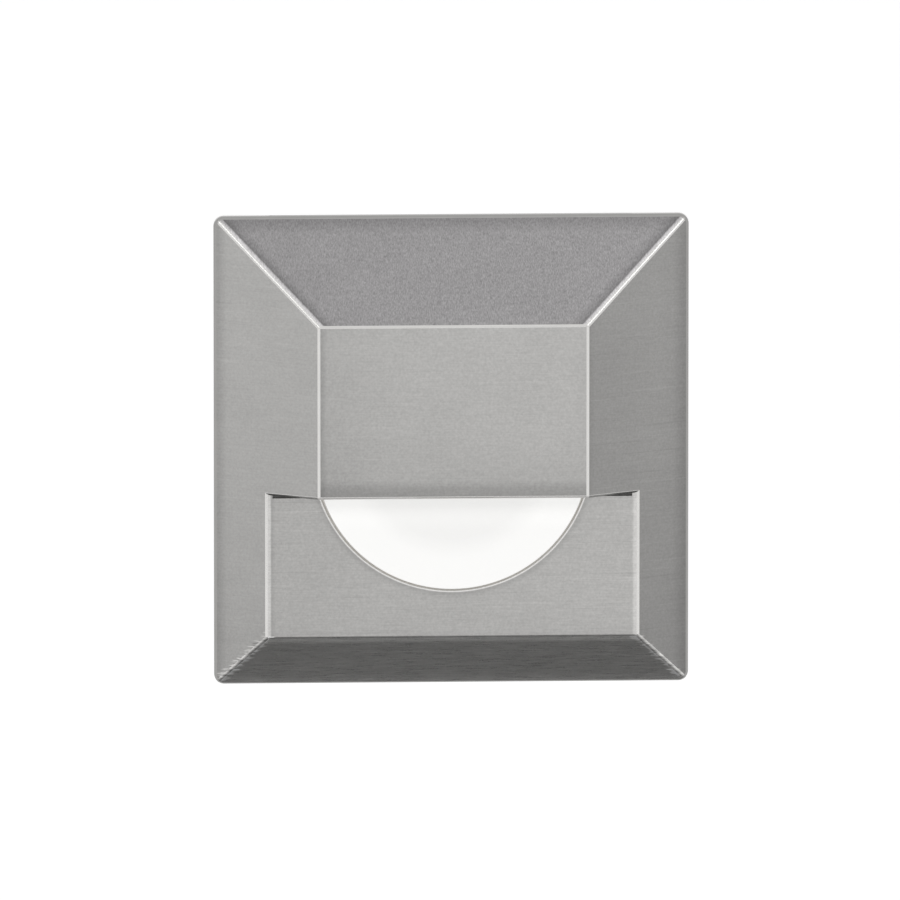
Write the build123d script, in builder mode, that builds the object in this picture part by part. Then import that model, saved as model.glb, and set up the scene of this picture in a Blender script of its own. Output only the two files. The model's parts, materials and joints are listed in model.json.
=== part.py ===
from build123d import *
from math import asin, cos, isclose, radians, sin, sqrt
import os

# Recessed step light: a square bevelled face plate with a hood over a half-moon lens, screwed onto a
# round sealed body that two sprung arms hold in a round recess.
# Sizes are in millimetres. X is to the right and Z up, as seen from the front. The wall's face is the
# plane Y = 0: the face plate stands in front of it, at negative Y, and the body lies behind it.

# Face plate
aperture_radius = 20.3
aperture_land = 1.5
aperture_chamfer = 0.2
lens_ledge = 2.3
skirt_wall = 3.4
skirt_length = 8.0
face_overhang = 9.0
corner_radius = 1.5
rim_height = 1.2
rim_radius = 0.7
bevel_rise = 8.0
bevel_run = 15.2
step_rise = 4.0
edge_radius = 0.9
hood_drop = 6.0
hood_wall = 2.5
hood_edge_radius = 0.4
root_groove_width = 0.45
root_groove_depth = 0.6

# Square frame gasket let into the back of the face plate
wall_gasket_depth = 1.0
wall_gasket_margin = 2.0
wall_gasket_width = 4.5
wall_gasket_play = 0.2

# Lens and its gasket
lens_play = 0.2
lens_flange = 2.0
lens_proud = 0.8
lens_gasket_thickness = 0.5

# Faceted reflector
reflector_wall = 0.8
reflector_sides = 24
reflector_margin = 3.1
reflector_throat = 6.0
optic_depth = 9.4

# LED board on its pad
led_board_sides = 8
led_board_margin = 4.9
led_board_thickness = 1.5
pad_thickness = 0.5
led_count = 6
led_ring_radius = 3.6
led_side = 2.0
led_height = 0.7

# Housing: neck, web and barrel
neck_wall = 2.1
thread_play = 0.1
barrel_step = 1.0
barrel_wall = 2.0
web_thickness = 2.5
chamber_depth = 28.5
seal_thickness = 1.2
seal_sides = 36

# Side pockets for the retention arms, and the pivots in them
pocket_depth = 6.4
pocket_half_width = 7.0
pocket_front_gap = 1.0
pocket_rear_gap = 2.0
pocket_wall = 1.6
pivot_height = 2.4
pivot_from_rear = 6.4
pin_radius = 1.0
pin_boss_half = 2.6
pin_boss_inset = 0.6
pin_blind = 3.4
pin_sub_flush = 0.4

# Retention arms, folded from sheet
arm_splay = 22.0
arm_thickness = 0.8
arm_side_play = 1.0
arm_length = 20.0
arm_knee = 16.0
arm_hook = 2.2
arm_lift = 2.2
arm_bend_radius = 2.5
ear_radius = 2.2
ear_length = 6.0
heel_length = 3.0
stop_gap = 0.05
pivot_play = 0.05

# Torsion springs round the pivot pins
wire_radius = 0.25
coil_play = 0.15
coil_turns = 4
coil_pitch = 0.6
coil_sides = 12
spring_leg = 9.0

# Driver board on its two posts
post_height = 10.5
post_half = 2.6
driver_screw_radius = 1.25
driver_screw_head_radius = 2.4
driver_screw_head_height = 1.4
driver_screw_depth = 5.0
driver_board_thickness = 1.6
driver_board_gap = 3.0
board_play = 0.5

# Feed pins between the two boards
feed_drop = 8.6
feed_pitch = 2.54
feed_pin_side = 0.64
feed_pin_stub = 0.4
feed_bush_wall = 1.2

# Rear cap and its screws
cap_thickness = 4.0
cap_chamfer = 1.0
cap_gasket_thickness = 0.8
cap_gasket_margin = 0.4
cap_screw_inset = 5.0
cap_screw_radius = 1.5
cap_screw_depth = 8.0
cap_screw_head_radius = 3.1
cap_screw_head_height = 2.0
cap_boss_half = 3.4
cap_boss_length = 12.0
screw_play = 0.2
screw_engaged_play = 0.02
shank_sides = 8

# Cable gland
gland_thread_radius = 6.0
gland_across_flats = 15.0
gland_flange_height = 5.0
gland_thread_length = 6.0
gland_nut_gap = 0.5
gland_nut_skirt = 6.0
gland_nut_dome = 5.0
gland_nut_taper = 20.0
gland_nut_exit = 3.5
gland_seal_wall = 1.8
gland_seal_length = 8.8
gland_throat = 3.4
gland_play = 0.1
cable_radius = 3.0

# Parts on the driver board's rear face: places are (X, Z) on the board
rectifier_place = (6.2, -9.5)
rectifier_side = 5.0
rectifier_height = 2.4
driver_ic_place = (0.0, -2.4)
driver_ic_width = 5.0
driver_ic_length = 4.0
driver_ic_height = 1.6
inductor_place = (-9.6, 1.0)
inductor_side = 9.0
inductor_height = 6.5
package_chamfer = 0.3
capacitor_places = ((10.0, -3.6), (10.0, 4.0))
capacitor_radius = 3.15
capacitor_height = 9.0
terminal_place = (0.0, 6.4)
terminal_width = 10.2
terminal_depth = 6.6
terminal_height = 8.5
terminal_pitch = 5.08
terminal_well_side = 2.8
terminal_well_depth = 3.0
terminal_entry_side = 2.6

# Radii and sides worked out from the above
seat_radius = aperture_radius + lens_ledge
skirt_radius = seat_radius + skirt_wall
barrel_radius = skirt_radius - barrel_step
chamber_radius = barrel_radius - barrel_wall
wall_middle = barrel_radius - barrel_wall / 2
neck_radius = seat_radius - thread_play
neck_bore = neck_radius - neck_wall
face_side = 2 * (skirt_radius + face_overhang)
step_inset = bevel_run * step_rise / bevel_rise
step_side = face_side - 2 * step_inset
led_board_radius = neck_bore - led_board_margin
cap_screw_at = (barrel_radius - cap_screw_inset) / sqrt(2)
feed_bush_width = feed_pitch + feed_pin_side + 2 * feed_bush_wall
feed_bush_height = feed_pin_side + 2 * feed_bush_wall
board_half_height = chamber_radius - driver_board_gap
post_at = (feed_drop + feed_bush_height / 2 + board_half_height) / 2

# Places along Y, from the front backwards
front_y = -(rim_height + bevel_rise)
step_y = -(rim_height + step_rise)
hood_ceiling_y = front_y + hood_wall
lens_seat_y = step_y + aperture_land
lens_flange_y = lens_seat_y + lens_gasket_thickness
lens_rear_y = lens_flange_y + lens_flange
neck_y = lens_rear_y + reflector_wall
led_board_y = neck_y + optic_depth
pad_y = led_board_y + led_board_thickness
web_y = pad_y + pad_thickness
chamber_y = web_y + web_thickness
barrel_y = skirt_length + seal_thickness
driver_board_y = chamber_y + post_height
driver_rear_y = driver_board_y + driver_board_thickness
housing_rear_y = chamber_y + chamber_depth
cap_y = housing_rear_y + cap_gasket_thickness
cap_rear_y = cap_y + cap_thickness
gland_flange_y = cap_rear_y + gland_flange_height
gland_thread_y = gland_flange_y + gland_thread_length
nut_front_y = gland_flange_y + gland_nut_gap
nut_shoulder_y = nut_front_y + gland_nut_skirt
seal_rear_y = gland_thread_y + gland_nut_gap
seal_front_y = seal_rear_y - gland_seal_length

# Pockets and pivots
pocket_floor = barrel_radius - pocket_depth
pocket_front_y = chamber_y + pocket_front_gap
pocket_rear_y = housing_rear_y - pocket_rear_gap
pivot_x = pocket_floor + pivot_height
pivot_y = housing_rear_y - pivot_from_rear
arm_width = 2 * (pocket_half_width - arm_side_play)
heel_drop = (pivot_height - stop_gap - heel_length * sin(radians(arm_splay))) / cos(radians(arm_splay))
pin_top = sqrt(barrel_radius**2 - (pivot_x + pin_radius) ** 2) - pin_sub_flush
pin_bottom = -(pocket_half_width + pin_blind)

# Repeated places, as (X, Z)
cap_screw_places = [(x, z) for x in (-cap_screw_at, cap_screw_at) for z in (-cap_screw_at, cap_screw_at)]
post_places = [(0, post_at), (0, -post_at)]
feed_pin_places = [(-feed_pitch / 2, -feed_drop), (feed_pitch / 2, -feed_drop)]
side_places = [(barrel_radius, 0), (-barrel_radius, 0)]


def front_plane(y):
    """A sketch plane at depth y, seen from the front: X to the right, Z up, extruding to the front."""
    return Plane.XZ.offset(-y)


def bevelled_block(rise, run):
    """A square block: rim, four bevels in to the top, every front edge rounded."""
    with BuildPart() as block:
        with BuildSketch(front_plane(0)):
            Rectangle(face_side, face_side)
        extrude(amount=rim_height)
        with Locations((0, -rim_height, 0)):
            Wedge(
                face_side,
                rise,
                face_side,
                run,
                run,
                face_side - run,
                face_side - run,
                rotation=(180, 0, 0),
                align=(Align.CENTER, Align.MIN, Align.CENTER),
            )
        fillet(block.edges().filter_by(lambda edge: edge.center().Y < -rim_height - rise / 8), edge_radius)
        fillet(block.edges().filter_by(Axis.Y), corner_radius)
        sides = block.faces().filter_by(lambda face: abs(face.normal_at().Y) < 1e-6)
        front_edges = sides.edges().filter_by(lambda edge: edge.bounding_box().max.Y < -rim_height / 2)
        fillet(front_edges, rim_radius)
    return block.part


def sealing_ring(outer_radius, inner_radius, rear_y, thickness):
    """A thin flat ring, drawn with straight sides to stay light."""
    with BuildPart() as ring:
        with BuildSketch(front_plane(rear_y)):
            RegularPolygon(outer_radius, seal_sides)
            RegularPolygon(inner_radius, seal_sides, major_radius=False, mode=Mode.SUBTRACT)
        extrude(amount=thickness)
    return ring


def faceted_cone(radius):
    """A many-sided block that narrows from the lens to the LED board, a little longer at its mouth."""
    with BuildPart() as cone:
        with BuildSketch(front_plane(led_board_y)):
            RegularPolygon(radius, reflector_sides, major_radius=False)
        extrude(amount=cone_depth + reflector_wall)
        throat = cone.faces().sort_by(Axis.Y)[-1]
        chamfer(throat.edges(), cone_spread, cone_depth, reference=throat)
    return cone.part


def keep(piece, name):
    """Label a finished piece and write its STEP file."""
    piece.part.label = name
    export_step(piece.part, f"parts/{name}.step")


os.makedirs("parts", exist_ok=True)

# Face plate: the hood is the full height of the bevels and ends below the centre; the lower step is
# a lower block with the same bevels
with BuildPart() as hood:
    add(bevelled_block(bevel_rise, bevel_run))
    split(bisect_by=Plane.XY.offset(-hood_drop), keep=Keep.TOP)
    underside_edges = hood.faces().sort_by(Axis.Z)[0].edges()
    fillet(underside_edges.filter_by(lambda edge: edge.bounding_box().min.Y < step_y), hood_edge_radius)

with BuildPart() as face_plate:
    add(bevelled_block(step_rise, step_inset))
    add(hood.part)
    # Narrow groove where the hood's underside meets the lower flat
    with BuildSketch(front_plane(step_y + root_groove_depth)):
        with Locations((0, -hood_drop)):
            Rectangle(step_side - 2 * edge_radius, root_groove_width, align=(Align.CENTER, Align.MAX))
    extrude(amount=root_groove_depth, mode=Mode.SUBTRACT)
    # Threaded skirt behind the plate
    with BuildSketch(front_plane(skirt_length)):
        Circle(skirt_radius)
    extrude(amount=skirt_length)
    # Lens seat from behind, then the aperture, whose upper half ends under the hood
    with BuildSketch(front_plane(skirt_length)):
        Circle(seat_radius)
    extrude(amount=skirt_length - lens_seat_y, mode=Mode.SUBTRACT)
    with BuildSketch(front_plane(lens_seat_y)):
        Circle(aperture_radius)
    extrude(amount=lens_seat_y - hood_ceiling_y, mode=Mode.SUBTRACT)
    aperture_edges = face_plate.edges().filter_by(GeomType.CIRCLE)
    aperture_edges = aperture_edges.filter_by(lambda edge: isclose(edge.radius, aperture_radius))
    chamfer(aperture_edges.sort_by(Axis.Z)[0], aperture_chamfer)
    # Recess for the wall gasket
    recess_side = face_side - 2 * wall_gasket_margin
    recess_inner = recess_side - 2 * wall_gasket_width
    with BuildSketch(front_plane(0)):
        Rectangle(recess_side, recess_side)
        Rectangle(recess_inner, recess_inner, mode=Mode.SUBTRACT)
    extrude(amount=wall_gasket_depth, mode=Mode.SUBTRACT)
keep(face_plate, "face_plate")

with BuildPart() as wall_gasket:
    gasket_outer = recess_side - 2 * wall_gasket_play
    gasket_inner = recess_inner + 2 * wall_gasket_play
    with BuildSketch(front_plane(0)):
        Rectangle(gasket_outer, gasket_outer)
        Rectangle(gasket_inner, gasket_inner, mode=Mode.SUBTRACT)
    extrude(amount=wall_gasket_depth)
keep(wall_gasket, "wall_gasket")

# Lens: a thick disc that stands proud of the lower flat, with a flange behind
with BuildPart() as lens:
    with BuildSketch(front_plane(lens_rear_y)):
        Circle(seat_radius - lens_play)
    extrude(amount=lens_flange)
    with BuildSketch(front_plane(lens_flange_y)):
        Circle(aperture_radius - lens_play)
    extrude(amount=lens_flange_y - step_y + lens_proud)
keep(lens, "lens")

lens_gasket = sealing_ring(
    seat_radius - lens_play, aperture_radius + lens_play, lens_flange_y, lens_gasket_thickness
)
keep(lens_gasket, "lens_gasket")

# White faceted cone from round the LEDs to the lens; the neck clamps its flange to the lens, and its
# throat presses the LED board onto the web
mouth_radius = seat_radius - reflector_margin
cone_spread = mouth_radius - reflector_throat
cone_depth = led_board_y - lens_rear_y
shell = reflector_wall * sqrt(1 + (cone_spread / cone_depth) ** 2)
with BuildPart() as reflector:
    add(faceted_cone(mouth_radius + shell))
    with BuildSketch(front_plane(neck_y)):
        RegularPolygon(seat_radius - lens_play, reflector_sides)
    extrude(amount=reflector_wall)
    add(faceted_cone(mouth_radius), mode=Mode.SUBTRACT)
    split(bisect_by=front_plane(lens_rear_y), keep=Keep.BOTTOM)
keep(reflector, "reflector")

# LED board, its parts and its pad
with BuildPart() as led_board:
    with BuildSketch(front_plane(pad_y)):
        RegularPolygon(led_board_radius, led_board_sides)
        with Locations(*feed_pin_places):
            Rectangle(feed_pin_side, feed_pin_side, mode=Mode.SUBTRACT)
    extrude(amount=led_board_thickness)
keep(led_board, "led_board")

with BuildPart() as led_emitters:
    with BuildSketch(front_plane(led_board_y)):
        with PolarLocations(led_ring_radius, led_count):
            Rectangle(led_side, led_side)
    extrude(amount=led_height)
keep(led_emitters, "led_emitters")

with BuildPart() as thermal_pad:
    with BuildSketch(front_plane(web_y)):
        RegularPolygon(led_board_radius, led_board_sides)
        with Locations((0, -feed_drop)):
            Rectangle(feed_bush_width, feed_bush_height, mode=Mode.SUBTRACT)
    extrude(amount=pad_thickness)
keep(thermal_pad, "thermal_pad")

# Housing: neck that screws into the skirt, web that carries the LED board, barrel with its pockets
with BuildPart() as housing:
    with BuildSketch(front_plane(housing_rear_y)):
        Circle(barrel_radius)
    extrude(amount=housing_rear_y - barrel_y)
    with BuildSketch(front_plane(barrel_y)):
        Circle(neck_radius)
    extrude(amount=barrel_y - neck_y)
    with BuildSketch(front_plane(web_y)):
        Circle(neck_bore)
    extrude(amount=web_y - neck_y, mode=Mode.SUBTRACT)
    with BuildSketch(front_plane(housing_rear_y)):
        Circle(chamber_radius)
    extrude(amount=chamber_depth, mode=Mode.SUBTRACT)
    # Walls of the two side pockets, inside the chamber
    with BuildSketch(front_plane(housing_rear_y)):
        with Locations(*side_places):
            Rectangle(2 * (pocket_depth + pocket_wall), 2 * (pocket_half_width + pocket_wall))
        Circle(wall_middle, mode=Mode.INTERSECT)
    extrude(amount=chamber_depth)
    # Bosses for the pivot pins beside the pockets
    with BuildSketch(front_plane(pivot_y + pin_boss_half)):
        with Locations(*side_places):
            Rectangle(2 * (pocket_depth + pin_boss_inset), 2 * wall_middle)
        Circle(wall_middle, mode=Mode.INTERSECT)
    extrude(amount=2 * pin_boss_half)
    # Square bosses for the rear cap's screws
    with BuildSketch(front_plane(housing_rear_y)):
        with Locations(*cap_screw_places):
            Rectangle(2 * cap_boss_half, 2 * cap_boss_half)
        Circle(wall_middle, mode=Mode.INTERSECT)
    extrude(amount=cap_boss_length)
    # Square posts for the driver board
    with BuildSketch(front_plane(driver_board_y)):
        with Locations(*post_places):
            Rectangle(2 * post_half, 2 * post_half)
    extrude(amount=post_height)
    # The pockets themselves, open to the sides
    with BuildSketch(front_plane(pocket_rear_y)):
        with Locations(*side_places):
            Rectangle(2 * pocket_depth, 2 * pocket_half_width)
    extrude(amount=pocket_rear_y - pocket_front_y, mode=Mode.SUBTRACT)
    # Pivot pin holes, drilled from above through one cheek and into the other
    with BuildSketch(Plane.XY.offset(pin_bottom)):
        with Locations((pivot_x, pivot_y), (-pivot_x, pivot_y)):
            Circle(pin_radius)
    extrude(amount=barrel_radius - pin_bottom, mode=Mode.SUBTRACT)
    # Tapped holes for the rear cap and in the driver posts, then the way for the feed bush
    with BuildSketch(front_plane(housing_rear_y)):
        with Locations(*cap_screw_places):
            RegularPolygon(cap_screw_radius + screw_engaged_play, shank_sides)
    extrude(amount=cap_screw_depth, mode=Mode.SUBTRACT)
    with BuildSketch(front_plane(driver_board_y)):
        with Locations(*post_places):
            RegularPolygon(driver_screw_radius + screw_engaged_play, shank_sides)
    extrude(amount=driver_screw_depth, mode=Mode.SUBTRACT)
    with BuildSketch(front_plane(chamber_y)):
        with Locations((0, -feed_drop)):
            Rectangle(feed_bush_width, feed_bush_height)
    extrude(amount=web_thickness, mode=Mode.SUBTRACT)
keep(housing, "housing")

# Ring seal squeezed between the skirt's end and the barrel's shoulder
housing_seal = sealing_ring(barrel_radius, neck_radius, barrel_y, seal_thickness)
keep(housing_seal, "housing_seal")

# Driver board on the posts: a cross that passes between the cap bosses
board_half_width = pocket_floor - pocket_wall - board_play
cross_half = cap_screw_at - cap_boss_half - board_play
with BuildPart() as driver_board:
    with BuildSketch(front_plane(driver_rear_y)):
        Rectangle(2 * board_half_width, 2 * cross_half)
        Rectangle(2 * cross_half, 2 * board_half_height)
        with Locations(*post_places):
            RegularPolygon(driver_screw_radius + screw_play, shank_sides, mode=Mode.SUBTRACT)
        with Locations(*feed_pin_places):
            Rectangle(feed_pin_side, feed_pin_side, mode=Mode.SUBTRACT)
    extrude(amount=driver_board_thickness)
keep(driver_board, "driver_board")

with BuildPart() as driver_screws:
    with BuildSketch(front_plane(driver_rear_y)):
        with Locations(*post_places):
            RegularPolygon(driver_screw_radius, shank_sides)
    extrude(amount=driver_board_thickness + driver_screw_depth - screw_play)
    with BuildSketch(front_plane(driver_rear_y + driver_screw_head_height)):
        with Locations(*post_places):
            RegularPolygon(driver_screw_head_radius, 6)
    extrude(amount=driver_screw_head_height)
keep(driver_screws, "driver_screws")

# Two square pins join the boards through an insulating bush in the web
with BuildPart() as feed_pins:
    with BuildSketch(front_plane(driver_rear_y + feed_pin_stub)):
        with Locations(*feed_pin_places):
            Rectangle(feed_pin_side, feed_pin_side)
    extrude(amount=driver_rear_y - led_board_y + 2 * feed_pin_stub)
keep(feed_pins, "feed_pins")

with BuildPart() as feed_bush:
    with BuildSketch(front_plane(driver_board_y)):
        with Locations((0, -feed_drop)):
            Rectangle(feed_bush_width, feed_bush_height)
        with Locations(*feed_pin_places):
            Rectangle(feed_pin_side, feed_pin_side, mode=Mode.SUBTRACT)
    extrude(amount=driver_board_y - pad_y)
keep(feed_bush, "feed_bush")

# Parts on the driver board
with BuildPart() as rectifier:
    with BuildSketch(front_plane(driver_rear_y + rectifier_height)):
        with Locations(rectifier_place):
            Rectangle(rectifier_side, rectifier_side)
    extrude(amount=rectifier_height)
    chamfer(rectifier.edges().group_by(Axis.Y)[-1], package_chamfer)
keep(rectifier, "rectifier")

with BuildPart() as driver_ic:
    with BuildSketch(front_plane(driver_rear_y + driver_ic_height)):
        with Locations(driver_ic_place):
            Rectangle(driver_ic_width, driver_ic_length)
    extrude(amount=driver_ic_height)
    chamfer(driver_ic.edges().group_by(Axis.Y)[-1], package_chamfer)
keep(driver_ic, "driver_ic")

with BuildPart() as inductor:
    with BuildSketch(front_plane(driver_rear_y + inductor_height)):
        with Locations(inductor_place):
            Rectangle(inductor_side, inductor_side)
    extrude(amount=inductor_height)
    chamfer(inductor.edges().filter_by(Axis.Y), 3 * package_chamfer)
keep(inductor, "inductor")

with BuildPart() as capacitors:
    with BuildSketch(front_plane(driver_rear_y + capacitor_height)):
        with Locations(*capacitor_places):
            Circle(capacitor_radius)
    extrude(amount=capacitor_height)
keep(capacitors, "capacitors")

with BuildPart() as terminal_block:
    terminal_x, terminal_z = terminal_place
    pole_xs = (terminal_x - terminal_pitch / 2, terminal_x + terminal_pitch / 2)
    with BuildSketch(front_plane(driver_rear_y + terminal_height)):
        with Locations(terminal_place):
            Rectangle(terminal_width, terminal_depth)
    extrude(amount=terminal_height)
    with BuildSketch(front_plane(driver_rear_y + terminal_height)):
        with Locations(*[(x, terminal_z) for x in pole_xs]):
            Rectangle(terminal_well_side, terminal_well_side)
    extrude(amount=terminal_well_depth, mode=Mode.SUBTRACT)
    with BuildSketch(Plane.XY.offset(terminal_z - terminal_depth / 2)):
        with Locations(*[(x, driver_rear_y + terminal_entry_side) for x in pole_xs]):
            Rectangle(terminal_entry_side, terminal_entry_side)
    extrude(amount=terminal_depth / 2, mode=Mode.SUBTRACT)
keep(terminal_block, "terminal_block")

# Rear cap on its gasket, which lies outside the screws
cap_gasket = sealing_ring(
    barrel_radius - cap_gasket_margin,
    barrel_radius - cap_screw_inset + cap_screw_radius + cap_gasket_margin,
    cap_y,
    cap_gasket_thickness,
)
keep(cap_gasket, "cap_gasket")

with BuildPart() as rear_cap:
    with BuildSketch(front_plane(cap_rear_y)):
        Circle(barrel_radius)
        Circle(gland_thread_radius + gland_play, mode=Mode.SUBTRACT)
        with Locations(*cap_screw_places):
            RegularPolygon(cap_screw_radius + screw_play, shank_sides, mode=Mode.SUBTRACT)
    extrude(amount=cap_thickness)
    rear_circles = rear_cap.edges().group_by(Axis.Y)[-1].filter_by(GeomType.CIRCLE)
    chamfer(rear_circles.sort_by(SortBy.RADIUS)[-1], cap_chamfer)
keep(rear_cap, "rear_cap")

with BuildPart() as cap_screws:
    with BuildSketch(front_plane(cap_rear_y + cap_screw_head_height)):
        with Locations(*cap_screw_places):
            RegularPolygon(cap_screw_head_radius, 6)
    extrude(amount=cap_screw_head_height)
    with BuildSketch(front_plane(cap_rear_y)):
        with Locations(*cap_screw_places):
            RegularPolygon(cap_screw_radius, shank_sides)
    extrude(amount=cap_rear_y - housing_rear_y + cap_screw_depth - screw_play)
keep(cap_screws, "cap_screws")

# Cable gland, screwed into the middle of the cap
seal_outer = cable_radius + gland_seal_wall
with BuildPart() as gland_body:
    with BuildSketch(front_plane(gland_thread_y)):
        Circle(gland_thread_radius)
    extrude(amount=gland_thread_y - cap_y)
    with BuildSketch(front_plane(gland_flange_y)):
        RegularPolygon(gland_across_flats / 2, 6, major_radius=False)
    extrude(amount=gland_flange_height)
    with BuildSketch(front_plane(gland_thread_y)):
        Circle(gland_throat)
    extrude(amount=gland_thread_y - cap_y, mode=Mode.SUBTRACT)
    with BuildSketch(front_plane(gland_thread_y)):
        Circle(seal_outer + gland_play / 2)
    extrude(amount=gland_thread_y - seal_front_y, mode=Mode.SUBTRACT)
keep(gland_body, "gland_body")

with BuildPart() as gland_seal:
    with BuildSketch(front_plane(seal_rear_y)):
        Circle(seal_outer)
        Circle(cable_radius, mode=Mode.SUBTRACT)
    extrude(amount=gland_seal_length)
keep(gland_seal, "gland_seal")

with BuildPart() as gland_nut:
    with BuildSketch(front_plane(nut_front_y)):
        RegularPolygon(gland_across_flats / 2, 6, major_radius=False)
    extrude(amount=-gland_nut_skirt)
    with BuildSketch(front_plane(nut_shoulder_y)):
        RegularPolygon(gland_across_flats / 2, 6, major_radius=False)
    extrude(amount=-gland_nut_dome, taper=gland_nut_taper)
    with BuildSketch(front_plane(nut_front_y)):
        Circle(gland_nut_exit)
    extrude(amount=-gland_nut_skirt - gland_nut_dome, mode=Mode.SUBTRACT)
    with BuildSketch(front_plane(nut_front_y)):
        Circle(gland_thread_radius + gland_play)
    extrude(amount=nut_front_y - seal_rear_y - gland_play, mode=Mode.SUBTRACT)
keep(gland_nut, "gland_nut")

# Retention arm, pin and spring on the right: local X runs along the arm from its pivot, local Y away
# from the body
splay = radians(arm_splay)
arm_plane = Plane(origin=(pivot_x, pivot_y, 0), x_dir=(sin(splay), -cos(splay), 0), z_dir=(0, 0, 1))

with BuildPart() as right_arm:
    with BuildSketch(arm_plane):
        with BuildLine():
            FilletPolyline(
                (-heel_length, arm_lift),
                (arm_knee, arm_lift),
                (arm_length, arm_lift - arm_hook),
                radius=arm_bend_radius,
            )
        trace(line_width=arm_thickness)
    extrude(amount=arm_width / 2, both=True)
    with BuildSketch(arm_plane.offset(arm_width / 2 - arm_thickness)):
        RegularPolygon(ear_radius, 8)
        Polygon((-heel_length, -heel_drop), (ear_length, arm_lift), (-heel_length, arm_lift), align=None)
    extrude(amount=arm_thickness)
    mirror(about=Plane.XY)
    with BuildSketch(arm_plane):
        Circle(pin_radius + pivot_play)
    extrude(amount=arm_width, both=True, mode=Mode.SUBTRACT)
keep(right_arm, "right_arm")

with BuildPart() as right_pin:
    with BuildSketch(Plane.XY.offset(pin_bottom)):
        with Locations((pivot_x, pivot_y)):
            Circle(pin_radius)
    extrude(amount=pin_top - pin_bottom)
keep(right_pin, "right_pin")

# Torsion spring: one leg lies along the arm's inner face, the other runs to the pocket's floor. The
# coil is drawn as a plain sleeve of its turns' length
coil_radius = pin_radius + coil_play + wire_radius
coil_length = coil_turns * coil_pitch
arm_leg_z = coil_length / 2 - wire_radius
floor_leg_lean = asin((pivot_height - coil_radius - wire_radius) / spring_leg)
floor_leg_direction = (-sin(floor_leg_lean), -cos(floor_leg_lean), 0)
with BuildPart() as right_spring:
    with BuildSketch(arm_plane.offset(-coil_length / 2)):
        RegularPolygon(coil_radius + wire_radius, coil_sides)
        RegularPolygon(coil_radius - wire_radius, coil_sides, major_radius=False, mode=Mode.SUBTRACT)
    extrude(amount=coil_length)
    with BuildSketch(Plane(arm_plane.from_local_coords((0, coil_radius, arm_leg_z)), z_dir=arm_plane.x_dir)):
        RegularPolygon(wire_radius, 6)
    extrude(amount=spring_leg)
    with BuildSketch(Plane((pivot_x - coil_radius, pivot_y, -arm_leg_z), z_dir=floor_leg_direction)):
        RegularPolygon(wire_radius, 6)
    extrude(amount=spring_leg)
keep(right_spring, "right_spring")

# The left side is the right side's mirror image
with BuildPart() as left_arm:
    mirror(right_arm.part, about=Plane.YZ)
keep(left_arm, "left_arm")

with BuildPart() as left_pin:
    mirror(right_pin.part, about=Plane.YZ)
keep(left_pin, "left_pin")

with BuildPart() as left_spring:
    mirror(right_spring.part, about=Plane.YZ)
keep(left_spring, "left_spring")
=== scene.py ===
"""Looks for the recessed step light.

A brushed cast plate over a half-moon opal lens, and behind it the sealed body with its two sprung arms.
The face looks towards -Y and the body lies along +Y. The light's sizes are in mm, times MM, and those
of the stage, the lamps and the camera are in metres.
"""

import json
import bmesh
import bpy
from math import atan2, cos, pi, radians, sin
from mathutils import Matrix, Vector


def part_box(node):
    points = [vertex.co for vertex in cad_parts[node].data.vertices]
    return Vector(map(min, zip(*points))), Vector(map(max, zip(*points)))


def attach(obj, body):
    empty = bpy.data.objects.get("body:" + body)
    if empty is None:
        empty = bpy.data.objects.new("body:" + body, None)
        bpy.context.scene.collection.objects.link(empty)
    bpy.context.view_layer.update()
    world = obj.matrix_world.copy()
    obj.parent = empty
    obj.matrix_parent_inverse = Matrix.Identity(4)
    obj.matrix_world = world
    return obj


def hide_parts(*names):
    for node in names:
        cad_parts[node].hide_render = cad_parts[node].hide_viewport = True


MM = 0.001

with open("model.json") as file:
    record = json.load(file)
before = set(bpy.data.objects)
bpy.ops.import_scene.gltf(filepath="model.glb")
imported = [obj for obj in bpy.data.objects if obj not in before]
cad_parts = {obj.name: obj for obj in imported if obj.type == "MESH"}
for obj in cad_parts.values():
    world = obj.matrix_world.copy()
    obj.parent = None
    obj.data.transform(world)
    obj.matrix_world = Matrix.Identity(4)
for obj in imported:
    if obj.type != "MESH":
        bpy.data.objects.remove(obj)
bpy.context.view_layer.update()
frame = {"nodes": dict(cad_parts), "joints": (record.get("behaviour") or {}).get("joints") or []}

# ---------------------------------------------------------------- mesh helpers

# Vertices nearer than these, in metres, become one, and faces that meet flatter than the angle do too
SEAM, CAD_SEAM = 1e-6, 2e-6
FLAT_ANGLE = radians(0.4)


def loose_object(builder, name):
    """An object made from a bmesh, linked to the scene."""
    mesh = bpy.data.meshes.new(name)
    builder.to_mesh(mesh)
    builder.free()
    item = bpy.data.objects.new(name, mesh)
    bpy.context.scene.collection.objects.link(item)
    return item


def finish_piece(builder, name, body, node, material, sharp_angle=35, edge_width=0.0, edge_steps=2):
    """Turn a bmesh into a named piece that rides on a body and stands for a CAD node.

    Edges sharper than the angle, in degrees, stay crisp, or are rounded where a width in mm is given.
    """
    builder.normal_update()
    for edge in builder.edges:
        edge.smooth = edge.is_manifold and edge.calc_face_angle(0) < radians(sharp_angle)
    piece = loose_object(builder, name)
    piece.data.materials.append(material)
    piece.data.shade_smooth()
    if edge_width:
        rounding = piece.modifiers.new("rounding", "BEVEL")
        rounding.width = edge_width * MM
        rounding.segments = edge_steps
        rounding.limit_method = "ANGLE"
        rounding.angle_limit = radians(sharp_angle)
    levelling = piece.modifiers.new("levelling", "WEIGHTED_NORMAL")
    levelling.mode = "FACE_AREA"
    levelling.weight = 60
    levelling.keep_sharp = not edge_width
    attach(piece, body)
    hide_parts(node)
    return piece


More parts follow.
